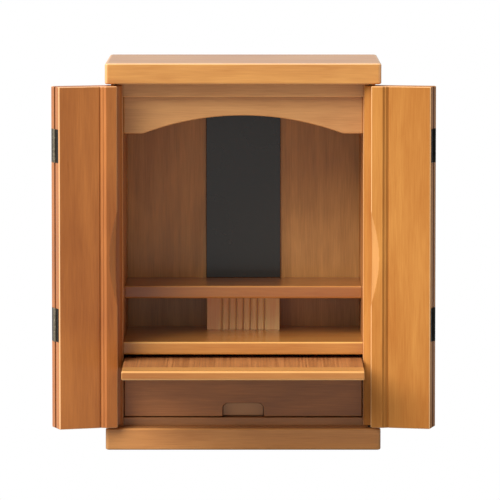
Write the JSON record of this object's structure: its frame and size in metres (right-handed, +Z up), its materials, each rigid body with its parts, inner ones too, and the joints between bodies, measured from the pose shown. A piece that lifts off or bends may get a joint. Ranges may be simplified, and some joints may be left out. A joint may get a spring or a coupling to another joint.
{
  "type": "household altar cabinet",
  "caption": "Tabletop household altar cabinet in lacquered wood: folding doors, arched niche with shelves, pull-out tray and drawer.",
  "frame": {"origin": "centre of the base's underside, on the surface the cabinet stands on", "axes": "+Z up, -Y out of the open front, +X to the viewer's right"},
  "size_m": [0.4211, 0.31, 0.425],
  "materials": {
    "case_wood": "satin",
    "door_wood": "satin",
    "niche_wood": "satin",
    "drawer_wood": "satin",
    "black_lacquer": "gloss",
    "hinge_metal": "satin"
  },
  "bodies": {
    "cabinet": {"base": "case_wood", "top_board": "case_wood", "left_side": "case_wood", "right_side": "case_wood", "back_panel": "niche_wood", "floor_board": "drawer_wood", "stop_rail": "case_wood", "arched_valance": "case_wood", "lower_shelf": "case_wood", "upper_shelf": "case_wood", "fluted_block": "case_wood", "black_backboard": "black_lacquer", "left_tray_runner": "niche_wood", "right_tray_runner": "niche_wood"},
    "tray": {"tray": "case_wood"},
    "drawer": {"drawer_front": "drawer_wood", "drawer_left_wall": "drawer_wood", "drawer_right_wall": "drawer_wood", "drawer_rear_wall": "drawer_wood", "drawer_bottom": "drawer_wood"},
    "left_outer_door": {"left_outer_leaf": "door_wood", "left_lower_hinge_outer_half": "hinge_metal", "left_upper_hinge_outer_half": "hinge_metal", "left_lower_pivot_pin": "hinge_metal", "left_upper_pivot_pin": "hinge_metal"},
    "left_inner_door": {"left_inner_leaf": "door_wood", "left_lower_hinge_inner_half": "hinge_metal", "left_upper_hinge_inner_half": "hinge_metal"},
    "right_outer_door": {"right_outer_leaf": "door_wood", "right_lower_hinge_outer_half": "hinge_metal", "right_upper_hinge_outer_half": "hinge_metal", "right_lower_pivot_pin": "hinge_metal", "right_upper_pivot_pin": "hinge_metal"},
    "right_inner_door": {"right_inner_leaf": "door_wood", "right_lower_hinge_inner_half": "hinge_metal", "right_upper_hinge_inner_half": "hinge_metal"}
  },
  "joints": [
    {"name": "left_door_pivot", "type": "hinge", "parent": "cabinet", "child": "left_outer_door", "pos_m": [-0.1395, -0.089, 0.2], "axis": [0, 0, 1], "range_deg": [-19.5, 11.5]},
    {"name": "left_leaf_fold", "type": "hinge", "parent": "left_outer_door", "child": "left_inner_door", "pos_m": [-0.20537, -0.12018, 0.2], "axis": [0, 0, -1], "range_deg": [0, 180]},
    {"name": "right_door_pivot", "type": "hinge", "parent": "cabinet", "child": "right_outer_door", "pos_m": [0.1395, -0.089, 0.2], "axis": [0, 0, -1], "range_deg": [-14, 17]},
    {"name": "right_leaf_fold", "type": "hinge", "parent": "right_outer_door", "child": "right_inner_door", "pos_m": [0.20806, -0.11372, 0.2], "axis": [0, 0, 1], "range_deg": [0, 180]},
    {"name": "tray_slide", "type": "slide", "parent": "cabinet", "child": "tray", "axis": [0, -1, 0], "range_m": [-0.125, 0.01]},
    {"name": "drawer_slide", "type": "slide", "parent": "cabinet", "child": "drawer", "axis": [0, -1, 0], "range_m": [0, 0.12]}
  ]
}
